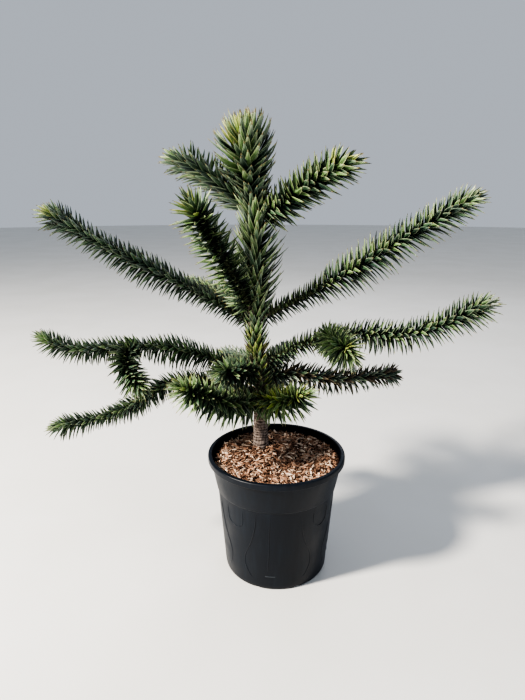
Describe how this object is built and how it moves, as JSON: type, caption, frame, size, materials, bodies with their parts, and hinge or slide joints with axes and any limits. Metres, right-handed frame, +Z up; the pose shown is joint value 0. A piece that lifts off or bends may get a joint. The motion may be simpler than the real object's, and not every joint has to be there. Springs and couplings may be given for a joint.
{
  "type": "monkey puzzle sapling in a nursery pot",
  "caption": "Young monkey puzzle tree with whorls of spiny leafy shoots round one trunk, growing in a round plastic nursery pot topped with bark mulch.",
  "frame": {"origin": "middle of the pot's flat underside, on the ground", "axes": "+Z up along the pot's axis, -Y towards the viewer of the picture, +X to the viewer's right"},
  "size_m": [0.8922, 0.3538, 0.8685],
  "materials": {
    "pot_plastic": "moulded black polypropylene, slightly dusty, satin",
    "potting_mix": "damp dark peat and bark potting mix",
    "bark_mulch": "loose reddish brown pine bark chips",
    "bark": "rough brown bark with rings of old leaf scars",
    "foliage": "stiff waxy dark green leaves with brown points",
    "sunlit_foliage": "younger waxy leaves, lighter yellow green",
    "dry_foliage": "leaves dying back to dull brown"
  },
  "bodies": {
    "root": {"pot": "pot_plastic", "potting_mix": "potting_mix", "bark_mulch": "bark_mulch", "trunk": "bark", "bough_w1_left": "bark", "bough_w1_front_left": "bark", "bough_w1_front_right": "bark", "bough_w1_right": "bark", "bough_w1_back_right": "bark", "bough_w1_back_left": "bark", "bough_w2_left": "bark", "bough_w2_right": "bark", "bough_w2_front": "bark", "bough_w2_back_right": "bark", "bough_w2_back_left": "bark", "bough_w3_left": "bark", "bough_w3_right": "bark", "bough_w3_front": "bark", "bough_w3_back_right": "bark", "bough_w3_back_left": "bark", "bough_w4_left": "bark", "bough_w4_right": "bark", "bough_w4_back": "bark", "shoot_w1_left": "foliage", "shoot_w1_front_left": "foliage", "shoot_w1_front_right": "foliage", "shoot_w1_right": "dry_foliage", "shoot_w1_back_right": "foliage", "shoot_w1_back_left": "foliage", "shoot_w2_left": "foliage", "shoot_w2_right": "foliage", "shoot_w2_front": "foliage", "shoot_w2_back_right": "foliage", "shoot_w2_back_left": "foliage", "shoot_w3_left": "foliage", "shoot_w3_right": "foliage", "shoot_w3_front": "foliage", "shoot_w3_back_right": "foliage", "shoot_w3_back_left": "foliage", "shoot_w4_left": "sunlit_foliage", "shoot_w4_right": "sunlit_foliage", "shoot_w4_back": "sunlit_foliage", "shoot_w2_left_side": "foliage", "shoot_w2_right_side": "foliage", "trunk_leaves_low": "sunlit_foliage", "trunk_leaves_middle": "sunlit_foliage", "trunk_leaves_upper": "sunlit_foliage", "leader_leaves": "sunlit_foliage"}
  },
  "joints": []
}
